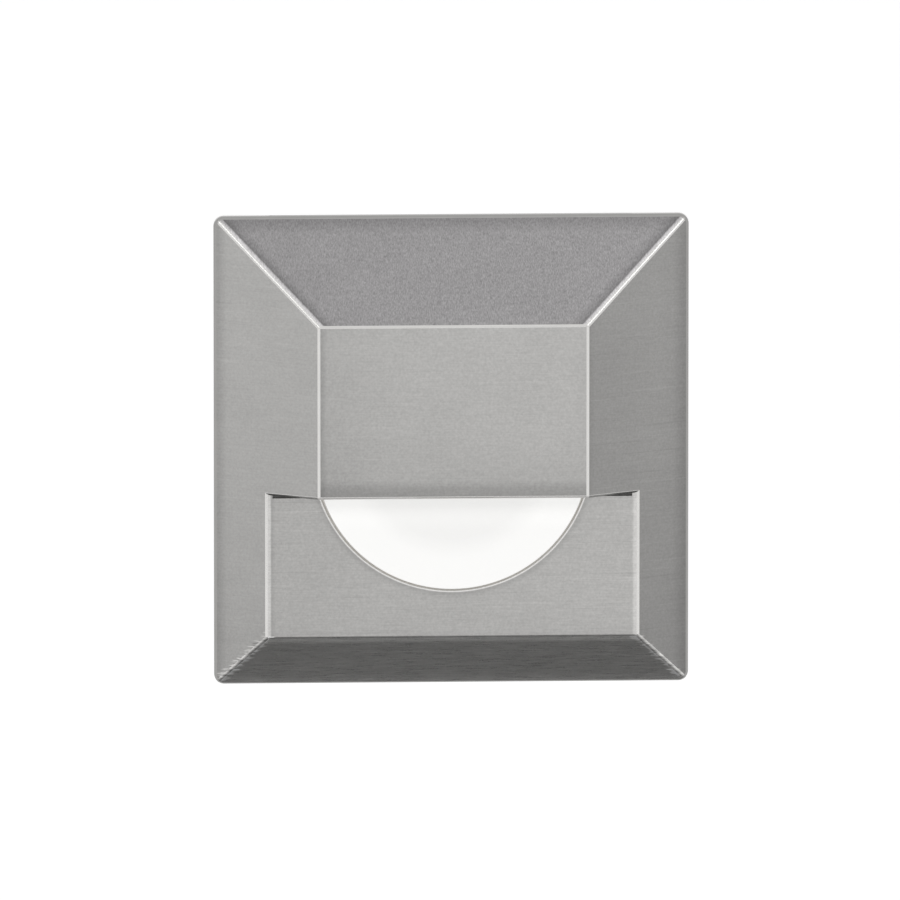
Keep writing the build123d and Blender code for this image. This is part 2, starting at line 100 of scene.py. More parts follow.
def node_copy(node):
    """A merged copy of a CAD node's mesh, its flat areas made whole again."""
    builder = bmesh.new()
    builder.from_mesh(frame["nodes"][node].data)
    bmesh.ops.remove_doubles(builder, verts=builder.verts, dist=CAD_SEAM)
    bmesh.ops.dissolve_limit(
        builder,
        angle_limit=FLAT_ANGLE,
        verts=builder.verts,
        edges=builder.edges,
        use_dissolve_boundaries=False,
    )
    return builder


def spin_outline(outline, steps, centre=(0.0, 0.0)):
    """Spin a closed outline of (radius, y) points about a line along Y through centre (x, z)."""
    builder = bmesh.new()
    x, z = centre
    points = [builder.verts.new(((x + radius) * MM, y * MM, z * MM)) for radius, y in outline]
    edges = [builder.edges.new(pair) for pair in zip(points, points[1:] + points[:1])]
    bmesh.ops.spin(
        builder,
        geom=points + edges,
        cent=(x * MM, 0, z * MM),
        axis=(0, 1, 0),
        angle=2 * pi,
        steps=steps,
        use_merge=True,
    )
    bmesh.ops.remove_doubles(builder, verts=builder.verts, dist=SEAM)
    bmesh.ops.recalc_face_normals(builder, faces=builder.faces)
    return builder


def hexagon_turned(outline, corner_radius, centres=((0.0, 0.0),)):
    """Turned blanks milled to hexagons, with two corners along X, about lines along Y."""
    turned_steps, overshoot = 72, 2
    heights = [y for _, y in outline]
    low, high = min(heights), max(heights)
    lay = Matrix.Rotation(radians(90), 4, "X") @ Matrix.Rotation(radians(30), 4, "Z")
    finished = bmesh.new()
    for x, z in centres:
        blank = loose_object(spin_outline(outline, turned_steps, (x, z)), "blank")
        prism = bmesh.new()
        bmesh.ops.create_cone(
            prism,
            cap_ends=True,
            segments=6,
            radius1=corner_radius * MM,
            radius2=corner_radius * MM,
            depth=(high - low + overshoot) * MM,
            matrix=Matrix.Translation((x * MM, (low + high) / 2 * MM, z * MM)) @ lay,
        )
        mill = loose_object(prism, "mill")
        milling = blank.modifiers.new("milling", "BOOLEAN")
        milling.operation = "INTERSECT"
        milling.solver = "EXACT"
        milling.object = mill
        graph = bpy.context.evaluated_depsgraph_get()
        milled = bpy.data.meshes.new_from_object(blank.evaluated_get(graph))
        finished.from_mesh(milled)
        bpy.data.meshes.remove(milled)
        bpy.data.objects.remove(blank)
        bpy.data.objects.remove(mill)
    bmesh.ops.remove_doubles(finished, verts=finished.verts, dist=SEAM)
    return finished


# ---------------------------------------------------------------- material helpers

NOISE_SPAN = (0.3, 0.7)  # where most values of a noise lie
WHOLE_SPAN = (0.0, 1.0)


def new_material(name, colour, roughness, metallic=0.0):
    """A principled material with uniform starting values; returns its tree and shader too."""
    material = bpy.data.materials.new(name)
    material.use_nodes = True
    tree = material.node_tree
    shader = tree.nodes["Principled BSDF"]
    shader.inputs["Base Color"].default_value = (*colour, 1)
    shader.inputs["Roughness"].default_value = roughness
    shader.inputs["Metallic"].default_value = metallic
    return material, tree, shader


def grain(tree, per_metre, detail=3.0, rough=0.55):
    """Noise on Object coordinates with a separate fineness along X, Y and Z."""
    place = tree.nodes.new("ShaderNodeTexCoord")
    stretch = tree.nodes.new("ShaderNodeMapping")
    stretch.inputs["Scale"].default_value = per_metre
    noise = tree.nodes.new("ShaderNodeTexNoise")
    noise.inputs["Scale"].default_value = 1.0
    noise.inputs["Detail"].default_value = detail
    noise.inputs["Roughness"].default_value = rough
    tree.links.new(place.outputs["Object"], stretch.inputs["Vector"])
    tree.links.new(stretch.outputs["Vector"], noise.inputs["Vector"])
    return noise.outputs["Fac"]


def compute(tree, operation, *sources):
    """A Math node on sources that are outputs or numbers."""
    node = tree.nodes.new("ShaderNodeMath")
    node.operation = operation
    for socket, source in zip(node.inputs, sources):
        if isinstance(source, (int, float)):
            socket.default_value = source
        else:
            tree.links.new(source, socket)
    return node.outputs["Value"]


def spread(tree, source, low, high, span=NOISE_SPAN):
    """Map a span of a pattern's values to a range."""
    mapper = tree.nodes.new("ShaderNodeMapRange")
    mapper.inputs["From Min"].default_value = span[0]
    mapper.inputs["From Max"].default_value = span[1]
    mapper.inputs["To Min"].default_value = low
    mapper.inputs["To Max"].default_value = high
    tree.links.new(source, mapper.inputs["Value"])
    return mapper.outputs["Result"]


def two_tones(tree, source, dark, light, span=NOISE_SPAN):
    """Blend from a dark tone to a light one by a pattern."""
    ramp = tree.nodes.new("ShaderNodeValToRGB")
    for element, position, tone in zip(ramp.color_ramp.elements, span, (dark, light)):
        element.position = position
        element.color = (*tone, 1)
    tree.links.new(source, ramp.inputs["Fac"])
    return ramp.outputs["Color"]


def scaled(tree, colour, factor):
    """Multiply a colour by a factor."""
    product = tree.nodes.new("ShaderNodeMix")
    product.data_type = "RGBA"
    product.blend_type = "MULTIPLY"
    product.inputs["Factor"].default_value = 1.0
    tree.links.new(colour, product.inputs["A"])
    tree.links.new(factor, product.inputs["B"])
    return product.outputs["Result"]


def roughen(tree, shader, source, low, high):
    """Vary the shader's roughness by a pattern."""
    tree.links.new(spread(tree, source, low, high), shader.inputs["Roughness"])


def emboss(tree, shader, source, depth, strength=1.0):
    """Bump the surface by a pattern, to a depth in metres."""
    bump = tree.nodes.new("ShaderNodeBump")
    bump.inputs["Distance"].default_value = depth
    bump.inputs["Strength"].default_value = strength
    tree.links.new(source, bump.inputs["Height"])
    tree.links.new(bump.outputs["Normal"], shader.inputs["Normal"])


def across(tree, way):
    """Metres along X or Z, out from the Y axis as a radius, or above the upper or the lower mitres.

    The upper mitres lie where Z is |X| and the lower ones where Z is -|X|.
    """
    place = tree.nodes.new("ShaderNodeTexCoord")
    if way == "radius":
        level = tree.nodes.new("ShaderNodeVectorMath")
        level.operation = "MULTIPLY"
        level.inputs[1].default_value = (1, 0, 1)
        reach = tree.nodes.new("ShaderNodeVectorMath")
        reach.operation = "LENGTH"
        tree.links.new(place.outputs["Object"], level.inputs[0])
        tree.links.new(level.outputs["Vector"], reach.inputs[0])
        return reach.outputs["Value"]
    split = tree.nodes.new("ShaderNodeSeparateXYZ")
    tree.links.new(place.outputs["Object"], split.inputs["Vector"])
    if way in ("X", "Z"):
        return split.outputs[way]
    width = compute(tree, "ABSOLUTE", split.outputs["X"])
    return compute(tree, "SUBTRACT" if way == "upper mitre" else "ADD", split.outputs["Z"], width)


def faded(tree, colour, way, stops):
    """Multiply a colour by factors set at places, in mm, along a way."""
    low, high = stops[0][0], stops[-1][0]
    curve = tree.nodes.new("ShaderNodeValToRGB")
    while len(curve.color_ramp.elements) < len(stops):
        curve.color_ramp.elements.new(0.5)
    for element, (spot, factor) in zip(curve.color_ramp.elements, stops):
        element.position = (spot - low) / (high - low)
        element.color = (factor, factor, factor, 1)
    place = spread(tree, across(tree, way), *WHOLE_SPAN, (low * MM, high * MM))
    tree.links.new(place, curve.inputs["Fac"])
    return scaled(tree, colour, curve.outputs["Color"])


# ---------------------------------------------------------------- steel

# Grains: features per metre along X, Y and Z
ALONG_X = (260, 6000, 6000)
SIDEWAYS = (240, 240, 5200)
COARSE_SIDEWAYS = (240, 240, 2600)
UP_SLOPE = (6500, 2600, 2600)
CAST = (1200, 1200, 1200)
TURNED = (2600, 6000, 2600)
ROLLED = (90, 90, 4200)
DRAWN = (800, 800, 3000)
SMUDGES = (110, 110, 160)
SPECKLES = (3000, 3000, 3000)


def warm_grey(level):
    """Neutral steel grey, a touch warm."""
    return (level, level * 0.988, level * 0.966)


def cool_grey(level):
    """Steel grey that leans a touch to violet."""
    return (level, level * 0.978, level * 0.986)


def overrun(tree, colour, side, factor, reach=1.7, fineness=2800):
    """Brush teeth that run over the lower mitres, from one face on to the next, painted lighter or darker:
    painted light and shade that carry one face's reflected tone onto the next.

    side is 1 on a face above the mitres and -1 on one below, reach is the longest tooth in mm, and
    fineness the teeth in a metre.
    """
    along_x, along_y, tooth_span, soft_end = 90, 300, (0.35, 0.65), 0.4 * MM
    pattern = grain(tree, (along_x, along_y, fineness), 2.0)
    teeth = spread(tree, pattern, 0.0, reach * MM, tooth_span)
    inside = compute(tree, "MULTIPLY_ADD", across(tree, "lower mitre"), -side, teeth)
    return scaled(tree, colour, spread(tree, inside, 1.0, factor, (0.0, soft_end)))


def scratched(tree, colour, per_metre, depth):
    """Sparse long scratches, some lighter and some darker than the steel."""
    longer, wider, slow_rate = 0.2, 0.6, 1000
    lowest, highest = (0.3, 0.38), (0.62, 0.7)
    rates = [rate * (longer if rate < slow_rate else wider) for rate in per_metre]
    lines = grain(tree, rates, 2.0)
    light = spread(tree, lines, 1 + depth, 1.0, lowest)
    dark = spread(tree, lines, 1.0, 1 - depth, highest)
    return scaled(tree, scaled(tree, colour, light), dark)


def brushed(name, per_metre, level, contrast, roughness, tone=warm_grey, painted_fades=(), crossings=(), cast=None):
    """Brushed steel: streaks in tone, roughness and height, with smudges.

    painted_fades are slow changes of tone that paint in highlights, reflections and shade, crossings are
    painted lighter or darker teeth at the lower mitres, and cast is how strong a cast face's speckles and
    scratches are.
    """
    material, tree, shader = new_material(name, tone(level), roughness, 1.0)
    streaks = grain(tree, per_metre, 5.0, 0.65)
    smudges = spread(tree, grain(tree, SMUDGES), 0.95, 1.0)
    colour = two_tones(tree, streaks, tone(level * (1 - contrast)), tone(level * (1 + contrast)))
    colour = scaled(tree, colour, smudges)
    if cast:
        speckle, scratches = cast
        speckles = grain(tree, SPECKLES, 2.5, 0.6)
        colour = scaled(tree, colour, spread(tree, speckles, 1 - speckle, 1 + speckle))
        colour = scratched(tree, colour, per_metre, scratches)
    # Painted light and shade: slow changes of tone along set ways
    for way, stops in painted_fades:
        colour = faded(tree, colour, way, stops)
    for crossing in crossings:
        colour = overrun(tree, colour, *crossing)
    tree.links.new(colour, shader.inputs["Base Color"])
    roughen(tree, shader, streaks, roughness * 0.8, roughness * 1.2)
    emboss(tree, shader, streaks, 4e-6, 0.35)
    return material


# Painted light and shade: slow changes of tone that stand in for highlights, reflections and shade on each
# face, given as a way, and the factors at places in mm along it
# Painted shade: the hood flat darker along its lower edge and along its left edge
HOOD_PAINTED_SHADE = (
    ("Z", ((-5.6, 0.68), (-4.4, 0.74), (-3.2, 0.93), (5, 0.98), (18, 1.0))),
    ("X", ((-19.4, 0.74), (-18.6, 0.9), (-10, 0.97), (8, 1.0))),
)
# Painted highlights on the lower flat's side edges and round the lens's hole, with painted shade beside
# them, and a shade darker towards its bottom edge
STEP_PAINTED_LIGHT = (
    (
        "X",
        (
            (-27.5, 1.35), (-26.85, 1.3), (-26.65, 0.8), (-26.0, 0.93), (0, 0.98),
            (26.5, 1.0), (26.8, 1.35), (27.4, 1.35),
        ),
    ),
    ("Z", ((-27.2, 0.95), (-26.2, 1.0), (-16, 1.0), (-7, 0.99))),
    ("radius", ((20.45, 1.75), (20.6, 1.75), (20.75, 0.84), (21.6, 1.0))),
)
# Painted shade on the top bevel along the rim and beside the hood flat, a painted highlight along the upper
# mitres with painted shade beside it, and a slight change from left to right
TOP_PAINTED_LIGHT = (
    ("Z", ((18.6, 0.9), (19.8, 1.0), (32.6, 1.0), (34.2, 0.8))),
    ("upper mitre", ((0.42, 2.1), (0.75, 1.8), (1.05, 0.68), (1.9, 0.86), (3.0, 1.0))),
    ("X", ((-30, 0.96), (0, 0.99), (30, 1.01))),
)
# Painted shade: the left bevel darker towards the bottom and along the rim
LEFT_PAINTED_SHADE = (
    ("Z", ((-35, 0.83), (0, 0.95), (35, 1.0))),
    ("X", ((-34.3, 0.8), (-33.2, 0.98), (-32, 1.0))),
)
# Painted shade: the right bevel darker towards the bottom, beside the hood flat's edge and along the rim
RIGHT_PAINTED_SHADE = (
    ("Z", ((-35, 0.76), (0, 0.9), (35, 1.0))),
    ("X", ((19.6, 0.82), (20.8, 0.96), (30, 1.0), (32.6, 0.96), (34.2, 0.78))),
)
# Painted highlights on the bottom bevel along the rim and along its upper edge, with painted shade on that
# edge's rounding
BOTTOM_PAINTED_LIGHT = (
    ("Z", ((-34.4, 1.2), (-33.4, 1.0), (-28.4, 1.0), (-27.9, 1.5), (-27.5, 1.5), (-27.35, 0.65))),
)
# Painted shade in the groove under the hood, darkest at its outer ends and towards the hood
ROOT_PAINTED_SHADE = (
    ("X", ((-26.9, 0.3), (-24.5, 0.35), (-22.0, 1.0), (22.0, 1.0), (24.5, 0.35), (26.9, 0.3))),
    ("Z", ((-5.9, 1.0), (-5.78, 1.0), (-5.68, 0.3))),
)

# Teeth at the lower mitres, painted lighter or darker as painted light and shade that carry each face's
# reflected tone over the mitre: side, factor, longest in mm and number in a metre, or the usual ones
LEFT_CROSSINGS = ((1, 0.6, 1.3), (1, 1.75, 1.5, 4900))
RIGHT_CROSSINGS = ((1, 0.7, 0.9), (1, 1.8, 0.9, 4900))
BOTTOM_CROSSINGS = ((-1, 1.5), (-1, 2.7, 1.5, 4900))

turned_steel = brushed("turned_stainless", TURNED, 0.55, 0.06, 0.3)
sheet_steel = brushed("rolled_spring_sheet", ROLLED, 0.56, 0.05, 0.3)
wire_steel = brushed("drawn_wire", DRAWN, 0.45, 0.08, 0.3)

# ---------------------------------------------------------------- lens and moulded parts


def opal():
    """Lit opal lens, a shade greyer in the middle, with painted light under the hood: the glow a little
    stronger there, to even out the hood's shade.
    """
    material, tree, shader = new_material("opal_lens", (0.6, 0.6, 0.59), 0.3)
    middle_edge, ring_edge = 12.5 * MM, 15.5 * MM
    hood_shade, hood_glow = -11.5 * MM, -6.5 * MM
    ring = spread(tree, across(tree, "radius"), *WHOLE_SPAN, (middle_edge, ring_edge))
    colour = two_tones(tree, ring, (0.56, 0.558, 0.55), (0.6, 0.598, 0.59), WHOLE_SPAN)
    tree.links.new(colour, shader.inputs["Base Color"])
    shader.inputs["Emission Color"].default_value = (1.0, 0.998, 0.985, 1)
    # Painted light: extra glow under the hood that evens out the hood's shade on the lens
    painted_light_under_hood = spread(tree, across(tree, "Z"), 0.0, 0.085, (hood_shade, hood_glow))
    glow = compute(tree, "ADD", spread(tree, ring, 0.43, 0.465, WHOLE_SPAN), painted_light_under_hood)
    tree.links.new(glow, shader.inputs["Emission Strength"])
    return material


def moulded(name, dark, light, roughness, fineness=900, depth=1.2e-5):
    """Moulded or coated surface with a fine skin."""
    material, tree, shader = new_material(name, light, roughness)
    skin = grain(tree, (fineness, fineness, fineness))
    patches = grain(tree, (70, 70, 70), 2.0)
    tree.links.new(two_tones(tree, patches, dark, light), shader.inputs["Base Color"])
    roughen(tree, shader, skin, roughness * 0.85, min(1.0, roughness * 1.15))
    emboss(tree, shader, skin, depth)
    return material


def lens_side():
    """The lens's side wall, which glows faintly: partly the lit lens's own glow and partly painted light
    that lifts the shaded gap round the lens.
    """
    material = moulded("lens_side_wall", (0.74, 0.73, 0.7), (0.8, 0.79, 0.76), 0.4)
    shader = material.node_tree.nodes["Principled BSDF"]
    shader.inputs["Emission Color"].default_value = (1, 0.97, 0.93, 1)
    # Glow partly the lens's own and partly painted light on the shaded gap
    shader.inputs["Emission Strength"].default_value = 0.26
    return material


def hood_lip():
    """Edge under the hood painted pale, a painted reflection of the lit lens, with a satin part-metal
    finish.
    """
    material = moulded("plate_hood_lip", (0.76, 0.742, 0.725), (0.82, 0.8, 0.78), 0.35, 2600, 4e-6)
    material.node_tree.nodes["Principled BSDF"].inputs["Metallic"].default_value = 0.3
    return material


opal_lens = opal()
lens_wall = lens_side()
powder_coat = moulded("powder_coat", (0.052, 0.053, 0.056), (0.07, 0.071, 0.074), 0.5, 1500, 3e-5)
black_polymer = moulded("black_polymer", (0.022, 0.022, 0.024), (0.032, 0.032, 0.034), 0.42)
dark_foam = moulded("dark_foam", (0.03, 0.03, 0.03), (0.05, 0.05, 0.05), 0.9, 1800, 8e-5)
grey_silicone = moulded("grey_silicone", (0.36, 0.37, 0.38), (0.44, 0.45, 0.46), 0.55)
white_reflector = moulded("white_reflector", (0.88, 0.88, 0.87), (0.93, 0.93, 0.92), 0.25, 400, 4e-6)
white_board = moulded("white_board", (0.84, 0.84, 0.82), (0.9, 0.9, 0.88), 0.35)
led_phosphor = moulded("led_phosphor", (0.86, 0.66, 0.16), (0.93, 0.76, 0.24), 0.5)
gold_pins = moulded("gold_pins", (0.72, 0.55, 0.22), (0.83, 0.66, 0.3), 0.3)
green_board = moulded("green_board", (0.025, 0.16, 0.06), (0.035, 0.21, 0.085), 0.35)
green_polymer = moulded("green_polymer", (0.05, 0.3, 0.14), (0.07, 0.36, 0.17), 0.45)
zinc_steel = moulded("zinc_steel", (0.5, 0.51, 0.53), (0.62, 0.63, 0.65), 0.35)
capacitor_sleeve = moulded("capacitor_sleeve", (0.03, 0.035, 0.05), (0.05, 0.055, 0.08), 0.3)

# The cast plate's finishes by area, with their painted light and shade, in the order of its material slots
plate_finishes_and_painted_light = {
    "step": brushed("plate_lower_flat", ALONG_X, 0.45, 0.09, 0.33, painted_fades=STEP_PAINTED_LIGHT, cast=(0.085, 0.09)),
    "hood": brushed("plate_hood_flat", ALONG_X, 0.445, 0.06, 0.33, painted_fades=HOOD_PAINTED_SHADE, cast=(0.085, 0.05)),
    # The bevels are one steel at different levels, painted shade for how light falls on each: the top and
    # right bevels painted darker, the left a little darker than the flats
    "top": brushed("plate_top_bevel", UP_SLOPE, 0.29, 0.3, 0.38, cool_grey, TOP_PAINTED_LIGHT),
    "left": brushed(
        "plate_left_bevel", SIDEWAYS, 0.395, 0.05, 0.34,
        painted_fades=LEFT_PAINTED_SHADE, crossings=LEFT_CROSSINGS, cast=(0.07, 0.05),
    ),
    "right": brushed(
        "plate_right_bevel", SIDEWAYS, 0.315, 0.06, 0.34,
        painted_fades=RIGHT_PAINTED_SHADE, crossings=RIGHT_CROSSINGS, cast=(0.08, 0.07),
    ),
    "bottom": brushed(
        "plate_bottom_bevel", ALONG_X, 0.46, 0.1, 0.3,
        painted_fades=BOTTOM_PAINTED_LIGHT, crossings=BOTTOM_CROSSINGS, cast=(0.06, 0.06),
    ),
    # Rounded edges: a smoother steel, partly burnished, and painted brighter as a painted highlight
    "edge": brushed("plate_burnished_edge_painted_highlight", ALONG_X, 0.63, 0.04, 0.22),
    "back": brushed("plate_cast_back", CAST, 0.42, 0.08, 0.45),
    # Rim painted darker, painted shade that dims its reflection of the sky
    "rim": brushed("plate_rolled_rim", ALONG_X, 0.34, 0.05, 0.4),
    # Edge under the hood painted pale, a painted reflection of the lit lens
    "lip": hood_lip(),
    "low mitre": brushed("plate_lower_mitre", COARSE_SIDEWAYS, 0.5, 0.6, 0.35),
    # Groove under the hood, with painted shade
    "root": brushed("plate_hood_root", ALONG_X, 0.4, 0.05, 0.4, painted_fades=ROOT_PAINTED_SHADE),
}

node_finishes = {
    "wall_gasket": dark_foam,
    "lens_gasket": grey_silicone,
    "reflector": white_reflector,
    "led_board": white_board,
    "led_emitters": led_phosphor,
    "thermal_pad": grey_silicone,
    "feed_pins": gold_pins,
    "feed_bush": black_polymer,
    "housing": powder_coat,
    "housing_seal": dark_foam,
    "driver_board": green_board,
    "driver_screws": zinc_steel,
    "rectifier": black_polymer,
    "driver_ic": black_polymer,
    "inductor": black_polymer,
    "capacitors": capacitor_sleeve,
    "terminal_block": green_polymer,
    "rear_cap": powder_coat,
    "cap_gasket": dark_foam,
    "cap_screws": turned_steel,
    "gland_body": black_polymer,
    "gland_seal": grey_silicone,
    "gland_nut": black_polymer,
    "right_arm": sheet_steel,
    "left_arm": sheet_steel,
    "right_pin": turned_steel,
    "left_pin": turned_steel,
    "right_spring": wire_steel,
    "left_spring": wire_steel,
    "lens": opal_lens,
    "face_plate": plate_finishes_and_painted_light["step"],
}
for node, finish in node_finishes.items():
    slots = frame["nodes"][node].data.materials
    slots.clear()
    slots.append(finish)

# ---------------------------------------------------------------- face plate

bevel_depth, bevel_width = 8.0, 15.2
bevel_tilt = atan2(bevel_depth, bevel_width)
bevel_normals = {
    side: Vector((x * sin(bevel_tilt), -cos(bevel_tilt), z * sin(bevel_tilt)))
    for side, (x, z) in {"top": (0, 1), "left": (-1, 0), "right": (1, 0), "bottom": (0, -1)}.items()
}
square_normals = [Vector(axis) for axis in ((1, 0, 0), (-1, 0, 0), (0, 0, 1), (0, 0, -1), (0, -1, 0))]

# Limits that tell the plate's areas apart: places in mm, an angle, and parts of a unit normal
hood_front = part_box("face_plate")[0].y / MM
step_front = -5.2
back_front = -0.1
groove_front, groove_floor = -5.15, -4.5
groove_z, groove_reach = -5.8, 0.5
hood_lip_z, hood_lip_reach = -6.0, 1.5
aperture_half = 20.4
rim_inside = 34.25
step_foot = -26
parallel = radians(1.5)
squarely, half_way, barely = 0.9999, 0.5, 0.05


def plate_area(middle, normal):
    """Name the plate's area that a face belongs to, from its middle in mm and its normal."""
    reach = max(abs(middle.x), abs(middle.z))
    bevel = min(bevel_normals, key=lambda side: normal.angle(bevel_normals[side]))
    if middle.y > back_front or normal.y > half_way:
        return "back"
    if groove_front < middle.y < groove_floor and abs(middle.z - groove_z) < groove_reach:
        return "root"
    if reach > rim_inside and abs(normal.y) < barely:
        return "step"
    if normal.y < -squarely:
        return "hood" if middle.y < (hood_front + step_front) / 2 else "step"
    if normal.angle(bevel_normals[bevel]) < parallel:
        return bevel
    if min(normal.angle(side) for side in square_normals) <= parallel:
        return "step"
    if reach > rim_inside:
        return "rim"
    if abs(middle.z - hood_lip_z) < hood_lip_reach and normal.z < -2 * barely:
        return "root" if abs(middle.x) > aperture_half else "lip"
    if middle.z < step_foot and normal.z < -barely:
        return "bottom" if abs(normal.x) < barely else "low mitre"
    return "edge"


def cast_plate():
    """The plate, each face with its own brushing and its painted light and shade, and most rounded edges
    burnished and painted bright as a painted highlight.
    """
    builder = node_copy("face_plate")
    plate = finish_piece(builder, "cast_plate", "light_body", "face_plate", plate_finishes_and_painted_light["step"])
    areas = list(plate_finishes_and_painted_light)
    for area in areas[1:]:
        plate.data.materials.append(plate_finishes_and_painted_light[area])
    for face in plate.data.polygons:
        face.material_index = areas.index(plate_area(face.center / MM, face.normal))


cast_plate()

# Opal lens: flat disc with a rolled edge on its clamped flange, and a side wall that glows faintly, partly
# as painted light
lens_outline = (
    (0, -1.2), (22.4, -1.2), (22.4, -3.2), (20.1, -3.2), (20.1, -5.8),
    (20.05, -5.94), (19.92, -6.0), (0, -6.0),
)
lens_front = -5.5
disc = spin_outline(lens_outline, 128)
lens_disc = finish_piece(disc, "lens_disc", "light_body", "lens", opal_lens, sharp_angle=30)
lens_disc.data.materials.append(lens_wall)
for face in lens_disc.data.polygons:
    lit = face.normal.y < -half_way and face.center.y < lens_front * MM
    face.material_index = 0 if lit else 1

# ---------------------------------------------------------------- rear pieces

# Cap with a sunk ring between the screws and the gland's boss
cap_outline = (
    (6.1, 42.8), (25.0, 42.8), (25.0, 45.8), (24.9, 46.2), (24.6, 46.55), (24.1, 46.8),
    (16.3, 46.8), (16.0, 46.65), (15.8, 46.2), (10.6, 46.2), (10.4, 46.6), (10.1, 46.8), (6.1, 46.8),
)
cap = spin_outline(cap_outline, 96)
finish_piece(cap, "cast_cap", "light_body", "rear_cap", powder_coat, sharp_angle=30)

# Hexagon screws with turned, dished heads
cap_screw_outline = (
    (0, 35.2), (1.4, 35.2), (1.4, 46.8), (3.0, 46.8), (3.15, 46.95), (3.15, 48.35), (2.85, 48.72),
    (2.6, 48.8), (2.1, 48.8), (1.8, 48.72), (1.5, 48.6), (0, 48.6),
)
screw_corner, screw_at = 3.1, 14.142
screw_centres = [(x, z) for x in (-screw_at, screw_at) for z in (-screw_at, screw_at)]
screws = hexagon_turned(cap_screw_outline, screw_corner, screw_centres)
finish_piece(screws, "cap_hexagon_screws", "light_body", "cap_screws", turned_steel, sharp_angle=28)

# Cable gland: hexagon body, and a dome nut with a rolled mouth
gland_body_outline = (
    (3.4, 42.8), (6.0, 42.8), (6.0, 46.8), (8.25, 46.8), (8.7, 47.2), (8.7, 51.3), (8.2, 51.8),
    (6.0, 51.8), (5.75, 52.0), (6.0, 52.3), (6.0, 57.8), (4.85, 57.8), (4.85, 49.5), (3.4, 49.5),
)
gland_nut_outline = (
    (6.1, 52.3), (8.3, 52.3), (8.75, 52.8), (8.75, 57.2), (8.5, 58.0), (8.1, 58.9), (7.5, 59.9),
    (6.85, 60.8), (6.1, 61.7), (5.4, 62.4), (4.8, 62.9), (4.4, 63.15), (4.0, 63.3), (3.75, 63.25),
    (3.55, 63.05), (3.5, 62.8), (3.5, 58.4), (6.1, 58.4),
)
gland_corner = 8.66
for name, node, outline in (
    ("gland_hexagon", "gland_body", gland_body_outline),
    ("gland_dome_nut", "gland_nut", gland_nut_outline),
):
    hexagon = hexagon_turned(outline, gland_corner)
    finish_piece(hexagon, name, "light_body", node, black_polymer, sharp_angle=28)

# Housing and wall gasket: the CAD's shapes with small rounded edges
for name, node, material, edge_width in (
    ("cast_housing", "housing", powder_coat, 0.25),
    ("foam_gasket", "wall_gasket", dark_foam, 0.2),
):
    finish_piece(node_copy(node), name, "light_body", node, material, sharp_angle=40, edge_width=edge_width)

# ---------------------------------------------------------------- retention arms

# The right hand's pivot; the left hand is its mirror image
hinges = {joint["name"]: Vector(joint["pos_m"]) for joint in frame["joints"]}
pivot = hinges["right_arm_fold"]

wire_radius = 0.25 * MM
wire_sides = 10
coil_radius = 1.4 * MM
coil_half = 0.95 * MM
coil_steps = 84
full_turns = 3
leg_length = 9.0 * MM
splay = radians(22)
floor_lean = 0.0835  # of the pocket's floor, in radians


def add_leg(builder, start, along):
    """Add a straight leg of the spring's wire."""
    turn = along.to_track_quat("Z", "Y").to_matrix().to_4x4()
    bmesh.ops.create_cone(
        builder,
        cap_ends=True,
        segments=wire_sides,
        radius1=wire_radius,
        radius2=wire_radius,
        depth=leg_length,
        matrix=Matrix.Translation(start + along * (leg_length / 2)) @ turn,
    )


def for_hand(builder, side):
    """Mirror the right hand's wire for the left, where side is -1, with its faces outwards."""
    bmesh.ops.scale(builder, vec=(side, 1, 1), verts=builder.verts)
    bmesh.ops.recalc_face_normals(builder, faces=builder.faces)
    return builder


def spring_coil(side):
    """Wound wire with its lower leg, which stays on the body."""
    builder = bmesh.new()
    foot = Vector((pivot.x - coil_radius, pivot.y, -coil_half))
    ring = bmesh.ops.create_circle(
        builder,
        cap_ends=False,
        segments=wire_sides,
        radius=wire_radius,
        matrix=Matrix.Translation(foot) @ Matrix.Rotation(pi / 2, 4, "X"),
    )
    bmesh.ops.spin(
        builder,
        geom=ring["verts"] + builder.edges[:],
        cent=(pivot.x, pivot.y, 0),
        axis=(0, 0, -1),
        dvec=(0, 0, 2 * coil_half / coil_steps),
        angle=pi - splay + full_turns * 2 * pi,
        steps=coil_steps,
        use_merge=False,
    )
    open_ends = [edge for edge in builder.edges if edge.is_boundary]
    bmesh.ops.holes_fill(builder, edges=open_ends, sides=0)
    add_leg(builder, foot, Vector((-sin(floor_lean), -cos(floor_lean), 0)))
    return for_hand(builder, side)


def spring_arm_leg(side):
    """Upper leg of the wire, which lies along the arm and turns with it."""
    builder = bmesh.new()
    start = pivot + Vector((coil_radius * cos(splay), coil_radius * sin(splay), coil_half))
    add_leg(builder, start, Vector((sin(splay), -cos(splay), 0)))
    return for_hand(builder, side)


for hand, side in (("right", 1), ("left", -1)):
    arm, pin, spring = f"{hand}_arm", f"{hand}_pin", f"{hand}_spring"
    stamping = node_copy(arm)
    finish_piece(stamping, f"{hand}_stamped_arm", arm, arm, sheet_steel, sharp_angle=30, edge_width=0.12)
    pin_copy = node_copy(pin)
    finish_piece(pin_copy, f"{hand}_pivot_pin", "light_body", pin, turned_steel, 30, 0.2, edge_steps=3)
    coil = spring_coil(side)
    finish_piece(coil, f"{hand}_spring_coil", "light_body", spring, wire_steel, sharp_angle=50)
    leg = spring_arm_leg(side)
    finish_piece(leg, f"{hand}_spring_leg", arm, spring, wire_steel, sharp_angle=50)

# ---------------------------------------------------------------- stage


def stage_plane(name, centre, half_x, half_y, material):
    """A level plane that isn't part of the object."""
    builder = bmesh.new()
    bmesh.ops.create_grid(builder, x_segments=1, y_segments=1, size=1.0)
    bmesh.ops.scale(builder, vec=(half_x, half_y, 1), verts=builder.verts)
    bmesh.ops.translate(builder, vec=centre, verts=builder.verts)
    plane = loose_object(builder, name)
    plane.data.materials.append(material)
    return plane


